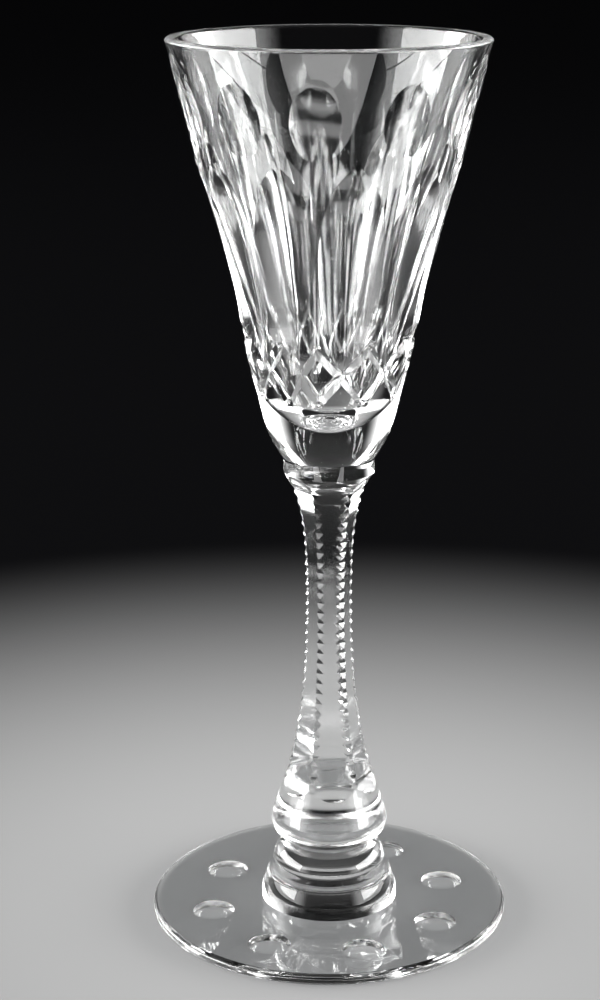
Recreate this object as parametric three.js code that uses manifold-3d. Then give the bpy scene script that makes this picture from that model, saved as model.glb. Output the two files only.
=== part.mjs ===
// Liqueur glass in clear cut lead crystal.
// A conical bowl stands on a collar, a six-sided stem with notched edges, two ring-shaped knops
// and a flat round foot. The gaffer makes these six gathers one after the other and fuses them hot,
// so they meet face to face and nothing moves. The cutter then grinds the pattern into them.
// Millimetres, +Z up, origin at the centre of the foot's underside.
// A place around the glass is given as a turn: degrees from the front (-Y), growing towards +X.
import * as THREE from 'three';
import { mergeVertices } from 'three/addons/utils/BufferGeometryUtils.js';
import Module from 'manifold-3d';

// Driving dimensions: foot
const footRadius = 28.6;
const footEdgeHeight = 1.8;
const footEdgeRound = 0.9;
const footRise = 0.15;
const footTurn = 16;
const footPrintyCount = 8;
const footPrintyCircle = 19.3;
const footPrintyRadius = 3.3;
const footPrintyDepth = 0.9;

// Driving dimensions: the two knops between foot and stem
const lowerKnopRadius = 10.9;
const lowerKnopTopRadius = 10.0;
const lowerKnopHeight = 4.6;
const lowerKnopWidest = 0.7;
const upperKnopRadius = 9.05;
const upperKnopHeight = 5.1;
const upperKnopShoulder = 3.9;
const knopRounding = 0.5;

// Driving dimensions: stem, six faces ground into a round blank, with notches along the six edges
const stemLength = 61.7;
const neckRadius = 6.1;
const neckHeight = 0.7;
const bellRadius = 9.3;
const bellRound = 3.1;
const bellShoulder = 20;
const waistRadius = 3.43;
const topFlareReach = 5.8;
const bellFlareReach = 16;
const bellFlareFade = 28.9;
const stemFaces = 6;
const stemTurn = 7;
const faceRunOutTop = 3;
const faceRunOutBell = 3;
const faceStart = 5.4;
const notchPitch = 1.65;
const notchWidth = 1.4;
const notchMargin = 1.2;
const edgeLand = 0.12;
const archLevels = [0, 0.1, 0.3];
const archWidest = 0.85;

// Driving dimensions: collar under the bowl
const collarRadius = 7.07;
const collarHeight = 2.4;

// Driving dimensions: bowl
const bowlHeight = 63.4;
const rimRadius = 24.05;
const rimWall = 1.6;
const lipHeight = 0.5;
const bowlBaseRadius = 7.24;
const bowlHeelHeight = 6.4;
const bowlHeelRadius = 10.2;
const bowlFloor = 5.35;
const wellRadius = 6.45;
const wellHeight = 4.95;
const wellCorner = 1.2;
const wellFloorRadius = 2.3;
const wellRounding = 0.35;

// Driving dimensions: the bowl's cuts, in eleven repeats. Heights are above the bowl's base, and a
// hollow is the radius of a cut's section across.
const repeats = 11;
const bowlTurn = -5;
const printyHeight = 53.1;
const printyLength = 11;
const printyWidth = 7.3;
const printyHollow = 160;
const fluteTop = 56;
const fluteBottom = 19.5;
const fluteDepth = 0.11;
const fluteHollow = 40;
const fluteTaper = 0.65;
const leafTop = 46.6;
const leafBottom = 14.5;
const leafDepth = 2.15;
const leafSlope = 17;
const diamondBottom = 11;
const diamondTop = 19.3;
const mitreDepth = 0.65;
const mitreSlope = 34;
const mitreRunOut = 0.12;
const strokeFullness = 3;
const strokePast = 0.03;
const toolClearance = 0.6;
const shallowClearance = 0.1;

// Fineness of the turned and swept surfaces
const bowlSides = 60;
const knopSides = 60;
const footSides = 72;
const arcSteps = 4;
const knopSteps = 6;
const ballSides = 24;
const ballRings = 16;
const dishSides = 24;
const dishRings = 5;
const fluteSteps = 5;
const leafSteps = 8;
const mitreSteps = 10;

const radians = THREE.MathUtils.degToRad;

// Heights of the joints, from the table up
const footTop = footEdgeHeight + footRise;
const lowerKnopTop = footTop + lowerKnopHeight;
const upperKnopTop = lowerKnopTop + upperKnopHeight;
const stemTop = upperKnopTop + stemLength;
const collarTop = stemTop + collarHeight;
const rimTop = collarTop + bowlHeight;

// A point of the glass from its radius, turn and height
function place(radius, turn, height) {
  const angle = radians(turn);
  return new THREE.Vector3(radius * Math.sin(angle), -radius * Math.cos(angle), height);
}

// Points of an elliptical arc in an outline, from one angle to another, as [radius, height]
function arc(centreRadius, centreHeight, radiusAcross, radiusUp, from, to, steps = arcSteps) {
  return Array.from({ length: steps + 1 }, (_, i) => {
    const angle = radians(from + (to - from) * i / steps);
    return [centreRadius + radiusAcross * Math.cos(angle), centreHeight + radiusUp * Math.sin(angle)];
  });
}

// Points of a curve that leaves its first and last point towards a corner between them
function bend(start, corner, end, steps = arcSteps) {
  const curve = new THREE.QuadraticBezierCurve(
    new THREE.Vector2(...start), new THREE.Vector2(...corner), new THREE.Vector2(...end));
  return curve.getPoints(steps).map((point) => [point.x, point.y]);
}

// A body turned about the axis from its outline, which runs from the axis up and back to the axis
function turned(outline, sides) {
  const points = outline.map(([radius, height]) => new THREE.Vector2(Math.max(radius, 0), height));
  return new THREE.LatheGeometry(points, sides).rotateX(Math.PI / 2);
}

// A body skinned over rings of points. Neighbouring rings are joined face by face: each ring is a
// list of faces, and a face is a run of points.
function skinned(rings) {
  const positions = [];
  const triangles = [];
  const numbered = rings.map((ring) => ring.map((face) => face.map((point) => {
    positions.push(point.x, point.y, point.z);
    return positions.length / 3 - 1;
  })));
  const bridge = (low, high) => {
    let i = 0;
    let j = 0;
    while (i < low.length - 1 || j < high.length - 1) {
      const lowNext = (i + 1) / Math.max(low.length - 1, 1);
      const highNext = (j + 1) / Math.max(high.length - 1, 1);
      if (j === high.length - 1 || (i < low.length - 1 && lowNext <= highNext)) {
        triangles.push(low[i], low[i + 1], high[j]);
        i += 1;
      } else {
        triangles.push(low[i], high[j + 1], high[j]);
        j += 1;
      }
    }
  };
  for (let level = 0; level < numbered.length - 1; level += 1) {
    const low = numbered[level];
    const high = numbered[level + 1];
    low.forEach((face, index) => {
      const next = (index + 1) % low.length;
      bridge(face, high[index]);
      bridge([face.at(-1), low[next][0]], [high[index].at(-1), high[next][0]]);
    });
  }
  const cap = (loop, up) => {
    for (let i = 1; i < loop.length - 1; i += 1) {
      triangles.push(loop[0], loop[up ? i : i + 1], loop[up ? i + 1 : i]);
    }
  };
  cap(numbered[0].flat(), false);
  cap(numbered.at(-1).flat(), true);
  const geometry = new THREE.BufferGeometry();
  geometry.setAttribute('position', new THREE.Float32BufferAttribute(positions, 3));
  geometry.setIndex(triangles);
  return geometry;
}

// Cutting one closed body with others
const wasm = await Module();
wasm.setup();

function toSolid(geometry) {
  const bare = geometry.clone();
  bare.deleteAttribute('normal');
  bare.deleteAttribute('uv');
  const merged = mergeVertices(bare, 1e-5);
  return new wasm.Manifold(new wasm.Mesh({
    numProp: 3,
    vertProperties: new Float32Array(merged.attributes.position.array),
    triVerts: new Uint32Array(merged.index.array),
  }));
}

function cut(blank, ...tools) {
  let solid = toSolid(blank);
  for (const tool of tools) {
    solid = solid.subtract(toSolid(tool));
  }
  const mesh = solid.getMesh();
  const geometry = new THREE.BufferGeometry();
  geometry.setAttribute('position', new THREE.BufferAttribute(mesh.vertProperties, 3));
  geometry.setIndex(new THREE.BufferAttribute(mesh.triVerts, 1));
  return geometry;
}

// Foot: a disc with a rounded edge and a slightly rising top, eight round hollows under it
function footGeometry() {
  const half = footEdgeHeight / 2;
  const blank = turned([
    [0, 0],
    ...arc(footRadius - footEdgeRound, half, footEdgeRound, half, -90, 90),
    [lowerKnopRadius, footTop],
    [0, footTop],
  ], footSides);
  const ball = (footPrintyRadius ** 2 + footPrintyDepth ** 2) / (2 * footPrintyDepth);
  const hollows = Array.from({ length: footPrintyCount }, (_, i) => {
    const turn = footTurn + 360 * i / footPrintyCount;
    const centre = place(footPrintyCircle, turn, footPrintyDepth - ball);
    return new THREE.SphereGeometry(ball, ballSides, ballRings).rotateX(Math.PI / 2)
      .translate(...centre.toArray());
  });
  return cut(blank, ...hollows);
}

// Lower knop: a squat drum, widest near the foot, whose side curves in to a narrower rounded top
function lowerKnopGeometry() {
  const side = lowerKnopTop - knopRounding;
  return turned([
    [0, footTop],
    [lowerKnopRadius, footTop],
    ...bend([lowerKnopRadius, footTop + lowerKnopWidest], [lowerKnopRadius, (footTop + side) / 2],
      [lowerKnopTopRadius, side]),
    ...arc(lowerKnopTopRadius - knopRounding, side, knopRounding, knopRounding, 0, 90, 2).slice(1),
    [0, lowerKnopTop],
  ], knopSides);
}

// Upper knop: a thick ring with round shoulders that draws in to the stem's neck
function upperKnopGeometry() {
  const shoulder = upperKnopTop - upperKnopShoulder;
  return turned([
    [0, lowerKnopTop],
    ...arc(upperKnopRadius - knopRounding, lowerKnopTop + knopRounding, knopRounding, knopRounding,
      -90, 0, 2),
    ...arc(neckRadius, shoulder, upperKnopRadius - neckRadius, upperKnopShoulder, 0, 90, knopSteps),
    [0, upperKnopTop],
  ], knopSides);
}

// Places along the stem's blank: the bell's widest point, the shoulder where its arc runs into the
// flare, and the heights between which the faces are ground
const bellHeight = upperKnopTop + neckHeight + bellRound;
const shoulderHeight = bellHeight + bellRound * Math.sin(radians(bellShoulder));
const shoulderRadius = bellRadius - bellRound * (1 - Math.cos(radians(bellShoulder)));
const faceBottom = bellHeight + faceStart;

// Radius of the stem's round blank above the shoulder: a waist with a flare at either end
function flare(height) {
  const above = height - shoulderHeight;
  const bell = (shoulderRadius - waistRadius)
    * Math.exp(-above / bellFlareReach - (above / bellFlareFade) ** 2);
  const top = (collarRadius - waistRadius) * Math.exp((height - stemTop) / topFlareReach);
  return waistRadius + bell + top;
}

// Distance from the axis to the middle of a face. The faces meet in sharp edges over most of the
// stem; near both ends they leave the blank on a curve and end in an arch.
function faceDistance(height) {
  const blank = flare(height);
  const meeting = blank * Math.cos(Math.PI / stemFaces);
  const top = 1 - (stemTop - height) / faceRunOutTop;
  const bell = 1 - (height - faceBottom) / faceRunOutBell;
  const leaving = THREE.MathUtils.clamp(Math.max(top, bell), 0, 1);
  return meeting + (blank - meeting) * leaving ** 2;
}

// One level of the stem: six faces, each a run of points from edge to edge, on the blank or on the
// face, whichever is nearer to the axis. land is the width ground flat across each edge. Where a
// face is still an arch on the blank, two of its points follow the arch's line.
function stemRing(height, blank, distance, land, isPlain = false) {
  const half = 180 / stemFaces;
  const reach = half - THREE.MathUtils.radToDeg(Math.atan(land / 2 / blank));
  const line = THREE.MathUtils.radToDeg(Math.acos(Math.min(1, distance / blank)));
  const arch = line > 0 ? Math.min(line, reach * archWidest) : reach / 2;
  const right = [arch / 2, arch, (arch + reach) / 2, reach];
  const left = right.map((along) => -along).reverse();
  const turns = isPlain ? [-reach, reach] : [...left, 0, ...right];
  return Array.from({ length: stemFaces }, (_, face) => turns.map((along) => {
    const onFace = distance / Math.cos(radians(along));
    return place(Math.min(blank, onFace), stemTurn + 2 * half * face + along, height);
  }));
}

// Stem: neck and bell turned round, then the six faces, whose edges carry V notches. At a notch's
// valley the edge is ground away to the notch's width; at its crest only a thin land is left.
function stemGeometry() {
  const round = (height, radius) => stemRing(height, radius, radius, edgeLand);
  const level = (height, land) => {
    const isPlain = height > faceBottom + faceRunOutBell && height < stemTop - faceRunOutTop;
    return stemRing(height, flare(height), faceDistance(height), land, isPlain);
  };
  const bellCurve = arc(bellRadius - bellRound, bellHeight, bellRound, bellRound, -90, bellShoulder,
    knopSteps);
  const rings = [
    round(upperKnopTop, neckRadius),
    ...bellCurve.map(([radius, height]) => round(height, Math.max(radius, neckRadius))),
    level((shoulderHeight + faceBottom) / 2, edgeLand),
    ...archLevels.map((share) => level(faceBottom + share * faceRunOutBell, edgeLand)),
  ];
  const firstNotch = faceBottom + notchMargin;
  const lastNotch = stemTop - faceRunOutTop + notchMargin;
  const notches = Math.max(1, Math.round((lastNotch - firstNotch) / notchPitch));
  for (let i = 0; i <= 2 * notches; i += 1) {
    const height = THREE.MathUtils.lerp(firstNotch, lastNotch, i / (2 * notches));
    rings.push(level(height, i % 2 ? notchWidth : edgeLand));
  }
  archLevels.toReversed().forEach((share) => {
    rings.push(level(stemTop - share * faceRunOutTop, edgeLand));
  });
  return skinned(rings);
}

// Collar: the plain disc between stem and bowl
function collarGeometry() {
  return turned([[0, stemTop], [collarRadius, stemTop], [collarRadius, collarTop], [0, collarTop]], knopSides);
}

// The bowl's outer wall is a straight cone from its heel to its lip
const wallSlope = (rimRadius - bowlHeelRadius) / (bowlHeight - lipHeight - bowlHeelHeight);
const wallTilt = Math.atan(wallSlope);
const wallRadius = (height) => bowlHeelRadius + (height - bowlHeelHeight) * wallSlope;

// A tool that follows a line of points on the outer wall. Each point gives its turn and height on the
// bowl and the depth of the cut there, and profile gives the tool's section for that depth as
// [sideways, outwards] from the wall.
function wallTool(points, profile) {
  const onWall = points.map(({ turn, height }) => place(wallRadius(height), turn, collarTop + height));
  const rings = points.map(({ turn, depth }, i) => {
    const before = onWall[Math.max(i - 1, 0)];
    const after = onWall[Math.min(i + 1, points.length - 1)];
    const outward = place(Math.cos(wallTilt), turn, -Math.sin(wallTilt));
    const along = after.clone().sub(before).normalize();
    const sideways = outward.clone().cross(along).normalize();
    return [profile(depth).map(([side, out]) => onWall[i].clone()
      .addScaledVector(sideways, side).addScaledVector(outward, out))];
  });
  return skinned(rings);
}

// Section of a V wheel: sunk to the given depth, standing clear of the wall outside
const vee = (slope) => (depth) => {
  const half = (toolClearance + depth) / Math.tan(radians(slope));
  return [[0, -depth], [half, toolClearance], [-half, toolClearance]];
};

// Section of a rounded wheel: an arc of the hollow's radius that ends clear of the wall
const hollow = (radius) => (depth) => {
  const spread = Math.acos(1 - (depth + shallowClearance) / radius);
  return Array.from({ length: arcSteps + 1 }, (_, i) => {
    const angle = -spread + 2 * spread * i / arcSteps;
    return [radius * Math.sin(angle), radius - depth - radius * Math.cos(angle)];
  });
};

// Points along a cut from start to end, as evenly spaced shares of its length. The first and last
// lie past the ends, where depthAt is below zero and lifts the tool out of the glass.
function stroke(start, end, past, steps, depthAt) {
  return Array.from({ length: steps + 1 }, (_, i) => {
    const share = THREE.MathUtils.lerp(-past, 1 + past, i / steps);
    return {
      turn: THREE.MathUtils.lerp(start.turn, end.turn, share),
      height: THREE.MathUtils.lerp(start.height, end.height, share),
      depth: depthAt(share),
    };
  });
}

// Depth of a cut that the wheel enters and leaves on its own curve, and that is full in between, or
// that tapers to a share of its depth at the lower end
const sweptDepth = (depth, taper = 1) => (share) => depth * THREE.MathUtils.lerp(taper, 1, share)
  * (1 - Math.abs(2 * share - 1) ** strokeFullness);

// Depth of a diamond's side: the cutter rolls the bowl against the wheel, so it is even from one
// crossing to the other and runs out beyond them
const rolledDepth = (depth, runOut) => (share) => {
  const beyond = Math.max(-share, share - 1, 0) / runOut;
  return depth * (1 - beyond ** 2);
};

// Printy: a shallow oval hollow, almost flat across, cut by a dish whose section is a parabola each
// way. The wall's own roundness gives most of the depth that the printy's width needs, and the dish
// is drawn out past the printy's oval until it stands clear of the wall.
function printyTool(turn) {
  const curves = 1 / printyHollow + 1 / wallRadius(printyHeight);
  const depth = printyWidth ** 2 / 8 * curves;
  const rise = depth + shallowClearance;
  const across = Math.sqrt(2 * rise * printyHollow);
  const upright = printyLength / 2 * Math.sqrt(rise / depth);
  const bowl = Array.from({ length: dishRings + 1 }, (_, i) => [i / dishRings, (i / dishRings) ** 2]);
  const dish = turned([...bowl, [0, 1]], dishSides).scale(upright, across, rise).rotateY(Math.PI / 2);
  dish.translate(-depth, 0, 0).rotateY(wallTilt).rotateZ(radians(turn - 90));
  return dish.translate(...place(wallRadius(printyHeight), turn, collarTop + printyHeight).toArray());
}

// The four kinds of cut, each at its place in every repeat: printies, flutes under them, leaves
// between them, and crossing mitres that make diamonds under the leaves
function bowlTools() {
  const step = 360 / repeats;
  const rise = diamondTop - diamondBottom;
  return Array.from({ length: repeats }, (_, i) => {
    const turn = bowlTurn + step * i;
    const between = turn + step / 2;
    const flute = stroke({ turn, height: fluteBottom }, { turn, height: fluteTop }, strokePast,
      fluteSteps, sweptDepth(fluteDepth, fluteTaper));
    const leaf = stroke({ turn: between, height: leafBottom }, { turn: between, height: leafTop },
      strokePast, leafSteps, sweptDepth(leafDepth));
    const mitres = [-1, 1].map((way) => stroke({ turn, height: diamondBottom },
      { turn: turn + way * step, height: diamondBottom + rise }, mitreRunOut * (1 + strokePast),
      mitreSteps, rolledDepth(mitreDepth, mitreRunOut)));
    return [
      printyTool(turn),
      wallTool(flute, hollow(fluteHollow)),
      wallTool(leaf, vee(leafSlope)),
      ...mitres.map((mitre) => wallTool(mitre, vee(mitreSlope))),
    ];
  }).flat();
}

// Bowl: a cone with a rounded heel, hollowed by a wider cone that narrows to a well with a rounded
// floor, and a lip rounded over
function bowlGeometry() {
  const lip = rimWall / 2;
  const floor = collarTop + bowlFloor;
  const wellTop = floor + wellHeight;
  const innerSlope = (rimRadius - rimWall - wellRadius) / (rimTop - lipHeight - wellTop);
  const corner = [wellRadius - wellCorner * innerSlope, wellTop - wellCorner];
  const floorEdge = [wellFloorRadius, floor];
  const roundStart = floorEdge.map((place, i) => THREE.MathUtils.lerp(place, corner[i], wellRounding));
  const blank = turned([
    [0, collarTop],
    ...bend([bowlBaseRadius, collarTop], [wallRadius(bowlHeelHeight / 2), collarTop + bowlHeelHeight / 2],
      [bowlHeelRadius, collarTop + bowlHeelHeight]),
    ...arc(rimRadius - lip, rimTop - lipHeight, lip, lipHeight, 0, 180, 4),
    ...bend([wellRadius, wellTop], corner, roundStart),
    ...bend(roundStart, floorEdge, [0, floor]).slice(1),
  ], bowlSides);
  return cut(blank, ...bowlTools());
}

const crystal = () => new THREE.MeshStandardMaterial({
  color: 0xf4f7f8, roughness: 0.03, metalness: 0, transparent: true, opacity: 0.35,
});

const glass = new THREE.Group();
const pieces = {
  foot: footGeometry,
  lower_knop: lowerKnopGeometry,
  upper_knop: upperKnopGeometry,
  stem: stemGeometry,
  collar: collarGeometry,
  bowl: bowlGeometry,
};
for (const [name, geometry] of Object.entries(pieces)) {
  const mesh = new THREE.Mesh(geometry(), crystal());
  mesh.name = name;
  glass.add(mesh);
}

export default glass;
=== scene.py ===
# Looks of the liqueur glass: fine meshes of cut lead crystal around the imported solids.
# Mesh code works in millimetres, with +Z up and the table at zero, and scales to metres at the end.
# A place around the glass is a turn: degrees from the front (-Y), growing towards +X.
import math

import bpy
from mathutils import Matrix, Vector

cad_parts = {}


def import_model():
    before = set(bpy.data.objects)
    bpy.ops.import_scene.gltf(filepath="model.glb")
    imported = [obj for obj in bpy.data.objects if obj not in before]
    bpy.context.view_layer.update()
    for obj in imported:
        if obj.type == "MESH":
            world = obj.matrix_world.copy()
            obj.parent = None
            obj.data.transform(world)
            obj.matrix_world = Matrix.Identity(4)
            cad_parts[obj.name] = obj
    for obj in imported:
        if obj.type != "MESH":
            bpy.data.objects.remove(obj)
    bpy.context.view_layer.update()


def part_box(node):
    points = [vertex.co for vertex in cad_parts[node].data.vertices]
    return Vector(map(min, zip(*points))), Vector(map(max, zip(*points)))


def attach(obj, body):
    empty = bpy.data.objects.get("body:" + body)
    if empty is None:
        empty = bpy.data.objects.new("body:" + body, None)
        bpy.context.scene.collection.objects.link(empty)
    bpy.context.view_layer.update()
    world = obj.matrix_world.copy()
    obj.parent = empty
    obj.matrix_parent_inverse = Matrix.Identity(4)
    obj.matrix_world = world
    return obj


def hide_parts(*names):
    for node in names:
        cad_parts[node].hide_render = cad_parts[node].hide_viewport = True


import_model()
scene = bpy.context.scene

METRES = 0.001


def top_of(node):
    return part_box(node)[1][2] / METRES


# Heights of the joints between the pieces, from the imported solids
foot_top = top_of("foot")
lower_knop_top = top_of("lower_knop")
upper_knop_top = top_of("upper_knop")
stem_top = top_of("stem")
collar_top = top_of("collar")
rim_top = top_of("bowl")

# Foot
foot_radius = 28.6
foot_edge_height = 1.8
foot_edge_round = 0.9
foot_turn = 16
foot_printy_count = 8
foot_printy_circle = 19.3
foot_printy_radius = 3.3
foot_printy_depth = 0.9

# Knops
lower_knop_radius = 10.9
lower_knop_top_radius = 10.0
lower_knop_widest = 0.7
upper_knop_radius = 9.05
upper_knop_shoulder = 3.9
knop_rounding = 0.5

# Stem
neck_radius = 6.1
neck_height = 0.7
bell_radius = 9.3
bell_round = 3.1
bell_shoulder = 20
waist_radius = 3.43
top_flare_reach = 5.8
bell_flare_reach = 16
bell_flare_fade = 28.9
stem_faces = 6
stem_turn = 7
face_run_out = 3
face_start = 5.4
notch_pitch = 1.65
notch_width = 1.4
notch_margin = 1.2
edge_land = 0.12
arch_widest = 0.9

# Collar and bowl
collar_radius = 7.07
bowl_base_radius = 7.24
bowl_heel_height = 6.4
bowl_heel_radius = 10.2
bowl_floor = 5.35
well_radius = 6.45
well_height = 4.95
well_corner = 1.2
well_floor_radius = 2.3
well_rounding = 0.35
rim_radius = 24.05
rim_wall = 1.6
lip_height = 0.5

# Cuts of the bowl, in eleven repeats, at heights above the bowl's base
repeats = 11
bowl_turn = -5
printy_height = 52.9
printy_length = 11
printy_width = 7.3
printy_hollow_radius = 36
flute_top = 56
flute_bottom = 19.5
flute_depth = 0.11
flute_hollow_radius = 40
flute_taper = 0.65
leaf_top = 46.6
leaf_bottom = 14.5
leaf_depth = 2.0
leaf_slope = 17
leaf_stroke_turn_top = 1.7
leaf_stroke_turn_bottom = 0.9
diamond_bottom = 11
diamond_top = 19.3
mitre_depth = 0.65
mitre_slope = 34
mitre_run_out = 0.12
tool_clearance = 0.6
shallow_clearance = 0.1
stroke_fullness = 3
stroke_past = 0.03

# How far the hand-cut pattern strays from an even division, in degrees, from the front round
printy_drift = [0, 3, 4, 4, 4.5, 5, 8, 7, 5, 3, 1.5]
flute_drift = [2, 3, 4, 4, 4.5, 5, 8, 7, 5, 3, 2.5]
leaf_drift = [0, 2, 3, 4, 4.5, 7, 7, 6, 4, -1.5, -0.5]
diamond_drift = [-3.5, -1.5, -0.5, 0, 1, 2, 3, 4, 5, 6, 5.5]

# Finish of the glass, with waves and fine lines of heights in millimetres and a haze as its roughness
blown_finish = {"wave_scales": (110, 110, 70), "wave_height": 0.03,
                "line_scales": (400, 400, 400), "line_height": 0.001, "haze": 0.01}
cut_finish = {"wave_scales": (160, 160, 60), "wave_height": 0.02,
              "line_scales": (1500, 1500, 70), "line_height": 0.0006, "haze": 0.09}
wave_detail = 1
line_detail = 2
haze_detail = 3
haze_scales = (90, 90, 90)
haze_spread = 0.5
glass_ior = 1.545
glass_colour = (0.985, 0.99, 0.988, 1)
glass_bounces = 24
glossy_bounces = 12

# Shadow of the glass, from where a face is seen straight on to where it is seen from its edge
shadow_blend = 0.5
shadow_stops = [(0, (0.95, 0.955, 0.955, 1)),
                (0.6, (0.88, 0.885, 0.89, 1)),
                (1, (0.25, 0.255, 0.26, 1))]

# Surroundings, in metres, degrees and radiances
floor_gap = 0.0001
floor_size = 8
floor_roughness = 0.8
# Painted pool of light: the floor keeps its pale colour near the glass and is painted darker further
# out, a painted falloff to nearly black that stands in for the lamps' light falling off
floor_colour = (0.45, 0.45, 0.45, 1)
painted_pool_reach = 0.03
painted_falloff_colour = (0.004, 0.004, 0.0045, 1)
painted_falloff_reach = 0.2
backdrop_colour = (0.0008, 0.0008, 0.0009, 1)
light_aim = 0.09
window_turn = 92
window_away = 0.98
window_rise = 0.19
window_width = 1.25
window_height = 0.39
window_radiance = 12
# Each soft box on the table: its name, place, width, depth and radiance
table_cards = [("card_far", (-0.012, -0.222, 0.002), 0.36, 0.056, 3.7),
               ("card_near", (-0.02, -0.151, 0.002), 0.2, 0.026, 2.6)]
# The side glow's level at shares of the half turn from the front, and at shares of the way up
side_around = [(0.2, 0), (0.32, 1), (0.68, 1), (0.86, 0)]
side_upward = [(0.47, 0), (0.51, 1), (0.61, 1), (0.74, 0)]
side_level = 4.8
ceiling_start = 0.3
ceiling_level = 0.15

# Camera as fitted to the photograph, with its lens in millimetres and its place in metres
camera_lens = 79.56
camera_sensor = 36
camera_shift = -0.029
camera_place = (0, -0.32886, 0.1649)
camera_pitch = 16.34
camera_clip = 0.01

# Fineness, with the least angles in degrees at which an edge shows
turned_edge = 12
cut_edge = 4.5
lathe_sides = 240
curve_steps = 16
long_curve_steps = 24
edge_steps = 20
lip_steps = 48
arch_points = 5
shoulder_levels = 8
run_in_levels = 6
levels_per_slope = 3
ball_sides = 96
ball_rings = 64
tool_steps = 48
hollow_steps = 24
dish_sides = 120
dish_rings = 24

# Closeness, by which a face of a cut mesh is known for what it is
same_place = 1e-6
joint_gap = 1e-3
level_match = 0.999
cone_gap = 0.02
cone_match = 0.9995
cut_gap = 0.01
facing_down = -0.5


# Places and curves

def place(radius, turn, height):
    angle = math.radians(turn)
    return Vector((radius * math.sin(angle), -radius * math.cos(angle), height))


def arc(centre_radius, centre_height, across, up, start, end, steps=curve_steps):
    angles = [math.radians(start + (end - start) * i / steps) for i in range(steps + 1)]
    return [(centre_radius + across * math.cos(a), centre_height + up * math.sin(a)) for a in angles]


def bend(start, corner, end, steps=curve_steps):
    """Points of a curve that leaves its start and its end towards the corner between them."""
    shares = [i / steps for i in range(steps + 1)]
    return [tuple((1 - s) ** 2 * a + 2 * s * (1 - s) * b + s ** 2 * c
                  for a, b, c in zip(start, corner, end)) for s in shares]


# Meshes

def new_mesh(name, points, faces):
    mesh = bpy.data.meshes.new(name)
    mesh.from_pydata([tuple(p) for p in points], [], faces)
    mesh.validate()
    return mesh


def turned(name, outline, sides=lathe_sides):
    """A closed body turned about the axis from its outline, from the axis up and back to it."""
    points, faces, rings = [], [], []
    for radius, height in outline:
        if radius < same_place:
            rings.append([len(points)] * sides)
            points.append((0, 0, height))
        else:
            rings.append([len(points) + i for i in range(sides)])
            points += [place(radius, 360 * i / sides, height) for i in range(sides)]
    for low, high in zip(rings, rings[1:]):
        for i in range(sides):
            j = (i + 1) % sides
            corners = [low[i], low[j], high[j], high[i]]
            faces.append(list(dict.fromkeys(corners)))
    return new_mesh(name, points, faces)


def skinned(name, rings):
    """A closed body through rings with the same number of points, with a cap at either end."""
    count = len(rings[0])
    points = [p for ring in rings for p in ring]
    faces = [list(range(count))[::-1], list(range(len(points) - count, len(points)))]
    for level in range(len(rings) - 1):
        low = level * count
        for i in range(count):
            j = (i + 1) % count
            faces.append([low + i, low + j, low + count + j, low + count + i])
    return new_mesh(name, points, faces)


def joined(name, meshes):
    points, faces = [], []
    for mesh in meshes:
        start = len(points)
        points += [v.co.copy() for v in mesh.vertices]
        faces += [[start + v for v in p.vertices] for p in mesh.polygons]
    return new_mesh(name, points, faces)


def move(mesh, by):
    for vertex in mesh.vertices:
        vertex.co += by


def cut(mesh, tools):
    """The mesh with each tool taken out of it, in turn."""
    for tool in tools:
        body = bpy.data.objects.new("blank", mesh)
        cutter = bpy.data.objects.new("cutter", tool)
        for thing in (body, cutter):
            scene.collection.objects.link(thing)
        step = body.modifiers.new("cut", "BOOLEAN")
        step.operation = "DIFFERENCE"
        step.solver = "MANIFOLD"
        step.object = cutter
        graph = bpy.context.evaluated_depsgraph_get()
        mesh = bpy.data.meshes.new_from_object(body.evaluated_get(graph))
        bpy.data.objects.remove(body)
        bpy.data.objects.remove(cutter)
    return mesh


def shaded(mesh, sharp):
    """Smooth shading, broken where two faces meet at more than sharp degrees."""
    mesh.shade_smooth()
    mesh.set_sharp_from_angle(angle=math.radians(sharp))


# Foot, knops and collar

def ball(radius):
    outline = arc(0, 0, radius, radius, -90, 90, ball_rings)
    return turned("ball", [(r if r > same_place else 0, h) for r, h in outline], ball_sides)


def foot_mesh():
    half = foot_edge_height / 2
    blank = turned("foot", [
        (0, 0),
        *arc(foot_radius - foot_edge_round, half, foot_edge_round, half, -90, 90, edge_steps),
        (lower_knop_radius, foot_top),
        (0, foot_top),
    ])
    radius = (foot_printy_radius ** 2 + foot_printy_depth ** 2) / (2 * foot_printy_depth)
    hollows = []
    for i in range(foot_printy_count):
        turn = foot_turn + 360 * i / foot_printy_count
        hollow_ball = ball(radius)
        move(hollow_ball, place(foot_printy_circle, turn, foot_printy_depth - radius))
        hollows.append(hollow_ball)
    return cut(blank, [joined("hollows", hollows)])


def lower_knop_mesh():
    side = lower_knop_top - knop_rounding
    middle = (foot_top + side) / 2
    return turned("lower_knop", [
        (0, foot_top),
        (lower_knop_radius, foot_top),
        *bend((lower_knop_radius, foot_top + lower_knop_widest), (lower_knop_radius, middle),
              (lower_knop_top_radius, side)),
        *arc(lower_knop_top_radius - knop_rounding, side, knop_rounding, knop_rounding, 0, 90)[1:],
        (upper_knop_radius - knop_rounding, lower_knop_top),
        (0, lower_knop_top),
    ])


def upper_knop_mesh():
    shoulder = upper_knop_top - upper_knop_shoulder
    return turned("upper_knop", [
        (0, lower_knop_top),
        *arc(upper_knop_radius - knop_rounding, lower_knop_top + knop_rounding, knop_rounding,
             knop_rounding, -90, 0),
        *arc(neck_radius, shoulder, upper_knop_radius - neck_radius, upper_knop_shoulder, 0, 90,
             long_curve_steps),
        (0, upper_knop_top),
    ])


def collar_mesh():
    return turned("collar", [
        (0, stem_top),
        (collar_radius, stem_top),
        (collar_radius, collar_top),
        (0, collar_top),
    ])


# Stem: a turned blank with six faces ground into it and V notches along the edges between them

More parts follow.
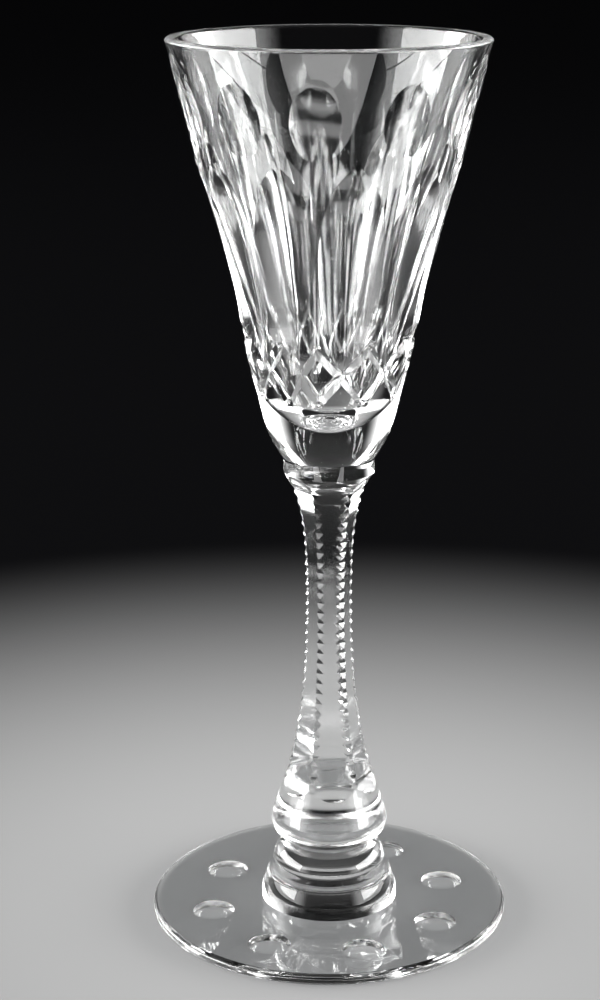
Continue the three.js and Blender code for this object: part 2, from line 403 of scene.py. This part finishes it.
bell_height = upper_knop_top + neck_height + bell_round
shoulder_height = bell_height + bell_round * math.sin(math.radians(bell_shoulder))
shoulder_radius = bell_radius - bell_round * (1 - math.cos(math.radians(bell_shoulder)))
face_bottom = bell_height + face_start


def flare(height):
    """Radius of the stem's blank, which widens into the bell below and to the collar above."""
    above = height - shoulder_height
    bell = (shoulder_radius - waist_radius) * math.exp(
        -above / bell_flare_reach - (above / bell_flare_fade) ** 2)
    top = (collar_radius - waist_radius) * math.exp((height - stem_top) / top_flare_reach)
    return waist_radius + bell + top


def face_distance(height):
    """From the axis to the middle of a face, which leaves the blank on a curve at both ends."""
    blank = flare(height)
    meeting = blank * math.cos(math.pi / stem_faces)
    nearest_end = min(stem_top - height, height - face_bottom)
    leaving = min(max(1 - nearest_end / face_run_out, 0), 1)
    return meeting + (blank - meeting) * leaving ** 2


def stem_ring(height, blank, distance, land):
    """One level of the stem. Where a face is an arch on the blank, points follow the arch's line."""
    half = 180 / stem_faces
    reach = half - math.degrees(math.atan(land / 2 / blank))
    line = math.degrees(math.acos(min(1, distance / blank)))
    arch = min(line, reach * arch_widest) if line > 0 else reach / 2
    right = [arch * (i + 1) / arch_points for i in range(arch_points)]
    right += [arch + (reach - arch) * (i + 1) / arch_points for i in range(arch_points)]
    turns = [-t for t in reversed(right)] + [0] + right
    ring = []
    for face in range(stem_faces):
        for along in turns:
            on_face = distance / math.cos(math.radians(along))
            ring.append(place(min(blank, on_face), stem_turn + 2 * half * face + along, height))
    return ring


def stem_mesh():
    def level(height, land):
        return stem_ring(height, flare(height), face_distance(height), land)

    rings = [stem_ring(upper_knop_top, neck_radius, neck_radius, edge_land)]
    for radius, height in arc(bell_radius - bell_round, bell_height, bell_round, bell_round, -90,
                              bell_shoulder, long_curve_steps):
        radius = max(radius, neck_radius)
        rings.append(stem_ring(height, radius, radius, edge_land))
    rings += [level(shoulder_height + (face_bottom - shoulder_height) * i / shoulder_levels, edge_land)
              for i in range(1, shoulder_levels + 1)]
    first_notch = face_bottom + notch_margin
    last_notch = stem_top - face_run_out + notch_margin
    notches = max(1, round((last_notch - first_notch) / notch_pitch))
    rings += [level(face_bottom + notch_margin * (i / run_in_levels) ** 2, edge_land)
              for i in range(1, run_in_levels)]
    slopes = 2 * notches * levels_per_slope
    for i in range(slopes + 1):
        phase = (i % (2 * levels_per_slope)) / levels_per_slope
        deep = min(phase, 2 - phase)
        land = edge_land + (notch_width - edge_land) * deep
        rings.append(level(first_notch + (last_notch - first_notch) * i / slopes, land))
    rings += [level(stem_top - (stem_top - last_notch) * (1 - i / run_in_levels) ** 2, edge_land)
              for i in range(1, run_in_levels)]
    rings.append(stem_ring(stem_top, collar_radius, collar_radius, edge_land))
    return skinned("stem", rings)


# Bowl: a turned cone with a rounded heel, a wider cone and a well inside and a round lip, then its cuts

wall_slope = (rim_radius - bowl_heel_radius) / (rim_top - lip_height - collar_top - bowl_heel_height)
wall_tilt = math.atan(wall_slope)
well_top = collar_top + bowl_floor + well_height
inner_slope = (rim_radius - rim_wall - well_radius) / (rim_top - lip_height - well_top)


def wall_radius(height):
    return bowl_heel_radius + (height - bowl_heel_height) * wall_slope


def wall_tool(points, profile):
    """A tool along points on the outer wall, each a turn, a height and the depth of the cut."""
    on_wall = [place(wall_radius(h), turn, collar_top + h) for turn, h, depth in points]
    rings = []
    for i, (turn, height, depth) in enumerate(points):
        along = on_wall[min(i + 1, len(points) - 1)] - on_wall[max(i - 1, 0)]
        outward = place(math.cos(wall_tilt), turn, -math.sin(wall_tilt))
        sideways = outward.cross(along).normalized()
        rings.append([on_wall[i] + sideways * side + outward * out for side, out in profile(depth)])
    return skinned("tool", rings)


def vee(slope):
    """Section of a V wheel for a depth, as places sideways and outwards from the wall."""
    def profile(depth):
        half = (tool_clearance + depth) / math.tan(math.radians(slope))
        return [(0, -depth), (half, tool_clearance), (-half, tool_clearance)]
    return profile


def hollow(radius):
    """Section of a rounded wheel for a depth."""
    def profile(depth):
        spread = math.acos(1 - (depth + shallow_clearance) / radius)
        angles = [-spread + 2 * spread * i / hollow_steps for i in range(hollow_steps + 1)]
        return [(radius * math.sin(a), radius - depth - radius * math.cos(a)) for a in angles]
    return profile


def stroke(start, end, past, depth_at):
    """Points along a cut, as turn, height and depth, from before its start to past its end."""
    points = []
    for i in range(tool_steps + 1):
        share = -past + (1 + 2 * past) * i / tool_steps
        turn, height = ((1 - share) * a + share * b for a, b in zip(start, end))
        points.append((turn, height, depth_at(share)))
    return points


def swept(depth, taper=1):
    """The depth of a cut that fades at both ends and tapers towards its start."""
    return lambda share: (depth * (taper + (1 - taper) * share)
                          * (1 - abs(2 * share - 1) ** stroke_fullness))


def rolled(depth, run_out):
    """The depth of a diamond's side, even between its crossings and running out beyond them."""
    return lambda share: depth * (1 - (max(-share, share - 1, 0) / run_out) ** 2)


def printy_tool(turn):
    """A shallow dish, wider than the printy, which leaves an oval of the printy's size in the wall."""
    curves = 1 / printy_hollow_radius + 1 / wall_radius(printy_height)
    depth = printy_width ** 2 / 8 * curves
    rise = depth + shallow_clearance
    across = math.sqrt(2 * rise * printy_hollow_radius)
    upright = printy_length / 2 * math.sqrt(rise / depth)
    dish = [(i / dish_rings, (i / dish_rings) ** 2) for i in range(dish_rings + 1)]
    tool = turned("dish", [*dish, (0, 1)], dish_sides)
    outward = place(math.cos(wall_tilt), turn, -math.sin(wall_tilt))
    sideways = place(1, turn + 90, 0)
    up = outward.cross(sideways)
    centre = place(wall_radius(printy_height), turn, collar_top + printy_height) - outward * depth
    for v in tool.vertices:
        x, y, z = v.co
        v.co = centre + sideways * (x * across) + up * (y * upright) + outward * (z * rise)
    if sideways.cross(up).dot(outward) < 0:
        tool.flip_normals()
    return tool


def bowl_tools():
    """The cuts, in groups in which no two tools meet. A leaf is two strokes side by side."""
    step = 360 / repeats
    vertices = [bowl_turn + step * i + diamond_drift[i] for i in range(repeats)]
    ring_groups = 3
    printies, flutes, leaves, mitres = ([[] for _ in range(n)]
                                        for n in (ring_groups, 1, 2 * ring_groups, 2))
    for i in range(repeats):
        group = ring_groups - 1 if i == repeats - 1 else i % 2
        printies[group].append(printy_tool(bowl_turn + step * i + printy_drift[i]))

        turn = bowl_turn + step * i + flute_drift[i]
        points = stroke((turn, flute_bottom), (turn, flute_top), stroke_past,
                        swept(flute_depth, flute_taper))
        flutes[0].append(wall_tool(points, hollow(flute_hollow_radius)))

        between = bowl_turn + step * (i + 0.5) + leaf_drift[i]
        for side in (-1, 1):
            low = (between + side * leaf_stroke_turn_bottom, leaf_bottom)
            high = (between + side * leaf_stroke_turn_top, leaf_top)
            points = stroke(low, high, stroke_past, swept(leaf_depth))
            leaf_group = group + (ring_groups if side > 0 else 0)
            leaves[leaf_group].append(wall_tool(points, vee(leaf_slope)))

        for way in (0, 1):
            side = 2 * way - 1
            across = (vertices[(i + side) % repeats] - vertices[i]) * side % 360 * side
            points = stroke((vertices[i], diamond_bottom), (vertices[i] + across, diamond_top),
                            mitre_run_out * (1 + stroke_past), rolled(mitre_depth, mitre_run_out))
            mitres[way].append(wall_tool(points, vee(mitre_slope)))
    return [joined("tools", group) for group in printies + flutes + leaves + mitres]


def bowl_mesh():
    """The cut bowl. The lip's arc starts and ends where it runs smoothly into the two walls."""
    lip = rim_wall / 2
    floor_edge = (well_floor_radius, collar_top + bowl_floor)
    corner = (well_radius - well_corner * inner_slope, well_top - well_corner)
    round_start = tuple(a + well_rounding * (b - a) for a, b in zip(floor_edge, corner))
    outer_start = math.degrees(math.atan(wall_slope * lip_height / lip))
    inner_end = math.degrees(math.atan(inner_slope * lip_height / lip))
    blank = turned("bowl", [
        (0, collar_top),
        (collar_radius, collar_top),
        *bend((bowl_base_radius, collar_top),
              (wall_radius(bowl_heel_height / 2), collar_top + bowl_heel_height / 2),
              (bowl_heel_radius, collar_top + bowl_heel_height), long_curve_steps),
        *arc(rim_radius - lip, rim_top - lip_height, lip, lip_height, -outer_start, 180 - inner_end,
             lip_steps),
        *bend((well_radius, well_top), corner, round_start, long_curve_steps),
        *bend(round_start, floor_edge, (0, collar_top + bowl_floor), long_curve_steps)[1:],
    ])
    return cut(blank, bowl_tools())


def true_cone(mesh):
    """Gives what is left of the uncut outer wall the normals of the true cone."""
    outward = (math.cos(wall_tilt), -math.sin(wall_tilt))
    normals = [corner.vector.copy() for corner in mesh.corner_normals]
    for face in mesh.polygons:
        centre = face.center
        reach = math.hypot(centre.x, centre.y)
        along = (centre.x * face.normal.x + centre.y * face.normal.y) / reach
        height = centre.z - collar_top
        on_cone = along * outward[0] + face.normal.z * outward[1] > cone_match
        if on_cone and bowl_heel_height < height < rim_top - lip_height - collar_top \
                and abs(reach - wall_radius(height)) < cone_gap:
            for loop in face.loop_indices:
                x, y, z = mesh.vertices[mesh.loops[loop].vertex_index].co
                radius = math.hypot(x, y)
                normals[loop] = Vector((x / radius * outward[0], y / radius * outward[0], outward[1]))
    mesh.normals_split_custom_set(normals)


# Finish of the glass

def noise(nodes, links, coordinates, scales, detail):
    """A noise whose features are 1 / scale metres long in X, Y and Z."""
    mapping = nodes.new("ShaderNodeMapping")
    mapping.inputs["Scale"].default_value = scales
    texture = nodes.new("ShaderNodeTexNoise")
    texture.inputs["Scale"].default_value = 1
    texture.inputs["Detail"].default_value = detail
    links.new(coordinates, mapping.inputs["Vector"])
    links.new(mapping.outputs["Vector"], texture.inputs["Vector"])
    return texture.outputs["Fac"]


def set_stops(ramp, stops):
    """Gives a colour ramp its stops, each a share from 0 to 1 and the colour there."""
    while len(ramp.color_ramp.elements) < len(stops):
        ramp.color_ramp.elements.new(0.5)
    for element, (share, colour) in zip(ramp.color_ramp.elements, stops):
        element.position = share
        element.color = colour


def crystal(name, wave_scales, wave_height, line_scales, line_height, haze):
    """Clear glass with slow waves and fine lines, which lets lamps shine through it."""
    material = bpy.data.materials.new(name)
    material.use_nodes = True
    nodes, links = material.node_tree.nodes, material.node_tree.links
    nodes.clear()
    coordinates = nodes.new("ShaderNodeTexCoord").outputs["Object"]

    waves = nodes.new("ShaderNodeBump")
    waves.inputs["Distance"].default_value = wave_height * METRES
    links.new(noise(nodes, links, coordinates, wave_scales, wave_detail), waves.inputs["Height"])
    lines = nodes.new("ShaderNodeBump")
    lines.inputs["Distance"].default_value = line_height * METRES
    links.new(noise(nodes, links, coordinates, line_scales, line_detail), lines.inputs["Height"])
    links.new(waves.outputs["Normal"], lines.inputs["Normal"])

    glass = nodes.new("ShaderNodeBsdfPrincipled")
    glass.inputs["Base Color"].default_value = glass_colour
    glass.inputs["Transmission Weight"].default_value = 1
    glass.inputs["IOR"].default_value = glass_ior
    links.new(lines.outputs["Normal"], glass.inputs["Normal"])
    handled = nodes.new("ShaderNodeMapRange")
    handled.inputs["To Min"].default_value = (1 - haze_spread) * haze
    handled.inputs["To Max"].default_value = (1 + haze_spread) * haze
    links.new(noise(nodes, links, coordinates, haze_scales, haze_detail), handled.inputs["Value"])
    links.new(handled.outputs["Result"], glass.inputs["Roughness"])

    edge = nodes.new("ShaderNodeLayerWeight")
    edge.inputs["Blend"].default_value = shadow_blend
    shade = nodes.new("ShaderNodeValToRGB")
    set_stops(shade, shadow_stops)
    links.new(edge.outputs["Facing"], shade.inputs["Fac"])
    through = nodes.new("ShaderNodeBsdfTransparent")
    links.new(shade.outputs["Color"], through.inputs["Color"])

    path = nodes.new("ShaderNodeLightPath")
    lit = nodes.new("ShaderNodeMath")
    lit.operation = "MAXIMUM"
    links.new(path.outputs["Is Shadow Ray"], lit.inputs[0])
    links.new(path.outputs["Is Diffuse Ray"], lit.inputs[1])
    mix = nodes.new("ShaderNodeMixShader")
    links.new(lit.outputs["Value"], mix.inputs["Fac"])
    links.new(glass.outputs["BSDF"], mix.inputs[1])
    links.new(through.outputs["BSDF"], mix.inputs[2])
    output = nodes.new("ShaderNodeOutputMaterial")
    links.new(mix.outputs["Shader"], output.inputs["Surface"])
    return material


def fused(name):
    """The face inside a hot joint, where glass meets glass and nothing shows."""
    material = bpy.data.materials.new(name)
    material.use_nodes = True
    glass = material.node_tree.nodes["Principled BSDF"]
    glass.inputs["Alpha"].default_value = 0
    return material


blown = crystal("crystal_blown", **blown_finish)
polished_cut = crystal("crystal_cut", **cut_finish)
joint_face = fused("crystal_joint")
BLOWN, CUT, JOINT = range(3)


# Pieces

def piece(node, mesh, joints, is_cut):
    """Puts the mesh in the node's place, with its finish. Each joint is a height and a radius."""
    mesh.materials.clear()
    for material in (blown, polished_cut, joint_face):
        mesh.materials.append(material)
    for face in mesh.polygons:
        centre = face.center
        reach = math.hypot(centre.x, centre.y)
        on_joint = any(abs(centre.z - h) < joint_gap and reach < r for h, r in joints)
        if on_joint and abs(face.normal.z) > level_match:
            face.material_index = JOINT
        else:
            face.material_index = CUT if is_cut(face) else BLOWN
    for vertex in mesh.vertices:
        vertex.co *= METRES
    mesh.name = node
    body = bpy.data.objects.new(node + "_glass", mesh)
    scene.collection.objects.link(body)
    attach(body, "root")
    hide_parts(node)


def nowhere(face):
    return False


def everywhere(face):
    return True


def in_hollow(face):
    return 0 < face.center.z < foot_printy_depth and face.normal.z < facing_down


def off_the_cone(face):
    centre = face.center
    height = centre.z - collar_top
    outer = math.hypot(centre.x, centre.y)
    inside = centre.x * face.normal.x + centre.y * face.normal.y < 0
    above_heel = bowl_heel_height < height < rim_top - collar_top - 2 * lip_height
    return above_heel and not inside and outer < wall_radius(height) - cut_gap


knop_joint = upper_knop_radius - knop_rounding
meshes = {
    "foot": (foot_mesh(), [(foot_top, lower_knop_radius)], in_hollow),
    "lower_knop": (lower_knop_mesh(), [(foot_top, lower_knop_radius), (lower_knop_top, knop_joint)],
                   nowhere),
    "upper_knop": (upper_knop_mesh(), [(lower_knop_top, knop_joint), (upper_knop_top, neck_radius)],
                   nowhere),
    "stem": (stem_mesh(), [(upper_knop_top, neck_radius), (stem_top, collar_radius)], everywhere),
    "collar": (collar_mesh(), [(stem_top, collar_radius), (collar_top, collar_radius)], nowhere),
    "bowl": (bowl_mesh(), [(collar_top, collar_radius)], off_the_cone),
}
for node, (mesh, joints, is_cut) in meshes.items():
    if node == "bowl":
        shaded(mesh, cut_edge)
        true_cone(mesh)
    else:
        shaded(mesh, turned_edge)
    piece(node, mesh, joints, is_cut)


# Floor, lights and camera

def floor():
    mesh = bpy.data.meshes.new("floor")
    reach = floor_size / 2
    corners = [(-reach, -reach), (reach, -reach), (reach, reach), (-reach, reach)]
    mesh.from_pydata([(x, y, -floor_gap) for x, y in corners], [], [(0, 1, 2, 3)])
    ground = bpy.data.objects.new("floor", mesh)
    scene.collection.objects.link(ground)
    material = bpy.data.materials.new("floor")
    material.use_nodes = True
    nodes, links = material.node_tree.nodes, material.node_tree.links
    surface = nodes["Principled BSDF"]
    surface.inputs["Roughness"].default_value = floor_roughness
    surface.inputs["Specular IOR Level"].default_value = 0
    # Painted falloff: the floor's colour darkens with the distance from the glass, a painted pool of
    # light around it
    geometry = nodes.new("ShaderNodeNewGeometry")
    length = nodes.new("ShaderNodeVectorMath")
    length.operation = "LENGTH"
    links.new(geometry.outputs["Position"], length.inputs[0])
    painted_falloff_share = nodes.new("ShaderNodeMapRange")
    painted_falloff_share.interpolation_type = "SMOOTHSTEP"
    painted_falloff_share.inputs["From Min"].default_value = painted_pool_reach
    painted_falloff_share.inputs["From Max"].default_value = painted_falloff_reach
    links.new(length.outputs["Value"], painted_falloff_share.inputs["Value"])
    colours = nodes.new("ShaderNodeValToRGB")
    set_stops(colours, [(0, floor_colour), (1, painted_falloff_colour)])
    links.new(painted_falloff_share.outputs["Result"], colours.inputs["Fac"])
    links.new(colours.outputs["Color"], surface.inputs["Base Color"])
    mesh.materials.append(material)


def math_node(nodes, links, operation, *values):
    node = nodes.new("ShaderNodeMath")
    node.operation = operation
    for socket, value in zip(node.inputs, values):
        if isinstance(value, bpy.types.NodeSocket):
            links.new(value, socket)
        else:
            socket.default_value = value
    return node.outputs["Value"]


def curve_node(nodes, links, value, stops):
    """A smooth curve through stops, each a share from 0 to 1 and the level there."""
    ramp = nodes.new("ShaderNodeValToRGB")
    ramp.color_ramp.interpolation = "EASE"
    set_stops(ramp, [(share, (level, level, level, 1)) for share, level in stops])
    links.new(value, ramp.inputs["Fac"])
    return ramp.outputs["Color"]


def world():
    """A dark studio: soft glows low at both sides and a dim ceiling, before a plain backdrop."""
    backdrop = bpy.data.worlds.new("studio")
    backdrop.use_nodes = True
    nodes, links = backdrop.node_tree.nodes, backdrop.node_tree.links
    direction = nodes.new("ShaderNodeTexCoord").outputs["Generated"]
    split = nodes.new("ShaderNodeSeparateXYZ")
    links.new(direction, split.inputs["Vector"])
    x, y, z = split.outputs
    turn = math_node(nodes, links, "ARCTAN2", math_node(nodes, links, "ABSOLUTE", x),
                     math_node(nodes, links, "MULTIPLY", y, -1))
    half_turn = math_node(nodes, links, "DIVIDE", turn, math.pi)
    upright = math_node(nodes, links, "MULTIPLY_ADD", z, 0.5, 0.5)
    level = curve_node(nodes, links, z, [(ceiling_start, 0), (1, ceiling_level)])
    glow = math_node(nodes, links, "MULTIPLY", curve_node(nodes, links, half_turn, side_around),
                     curve_node(nodes, links, upright, side_upward))
    level = math_node(nodes, links, "MULTIPLY_ADD", glow, side_level, level)
    links.new(level, nodes["Background"].inputs["Color"])
    plain = nodes.new("ShaderNodeBackground")
    plain.inputs["Color"].default_value = backdrop_colour
    seen = nodes.new("ShaderNodeMixShader")
    links.new(nodes.new("ShaderNodeLightPath").outputs["Is Camera Ray"], seen.inputs["Fac"])
    links.new(nodes["Background"].outputs["Background"], seen.inputs[1])
    links.new(plain.outputs["Background"], seen.inputs[2])
    links.new(seen.outputs["Shader"], nodes["World Output"].inputs["Surface"])
    scene.world = backdrop


def soft_light(name, shape, position, facing, width, height, radiance):
    """A soft box that the camera doesn't see, with its sizes and position in metres."""
    data = bpy.data.lights.new(name, "AREA")
    data.shape = shape
    data.size, data.size_y = width, height
    area = width * height * (math.pi / 4 if shape == "ELLIPSE" else 1)
    data.energy = radiance * math.pi * area
    lamp = bpy.data.objects.new(name, data)
    lamp.location = position
    lamp.rotation_euler = facing.to_track_quat("-Z", "Y").to_euler()
    lamp.visible_camera = False
    scene.collection.objects.link(lamp)


def camera():
    data = bpy.data.cameras.new("camera")
    data.lens = camera_lens
    data.sensor_width = camera_sensor
    data.shift_x = camera_shift
    data.clip_start = camera_clip
    eye = bpy.data.objects.new("camera", data)
    eye.location = camera_place
    eye.rotation_euler = (math.radians(90 - camera_pitch), 0, 0)
    scene.collection.objects.link(eye)
    scene.camera = eye


floor()
world()
for name, turn in (("window_right", window_turn), ("window_left", -window_turn)):
    beside = place(window_away, turn, window_rise)
    soft_light(name, "RECTANGLE", beside + Vector((0, 0, light_aim)), -beside, window_width,
               window_height, window_radiance)
for name, position, width, depth, radiance in table_cards:
    soft_light(name, "ELLIPSE", Vector(position), Vector((0, 0, 1)), width, depth, radiance)
camera()

scene.view_settings.view_transform = "Standard"
scene.cycles.max_bounces = glass_bounces
scene.cycles.transmission_bounces = glass_bounces
scene.cycles.glossy_bounces = glossy_bounces
scene.cycles.transparent_max_bounces = glass_bounces
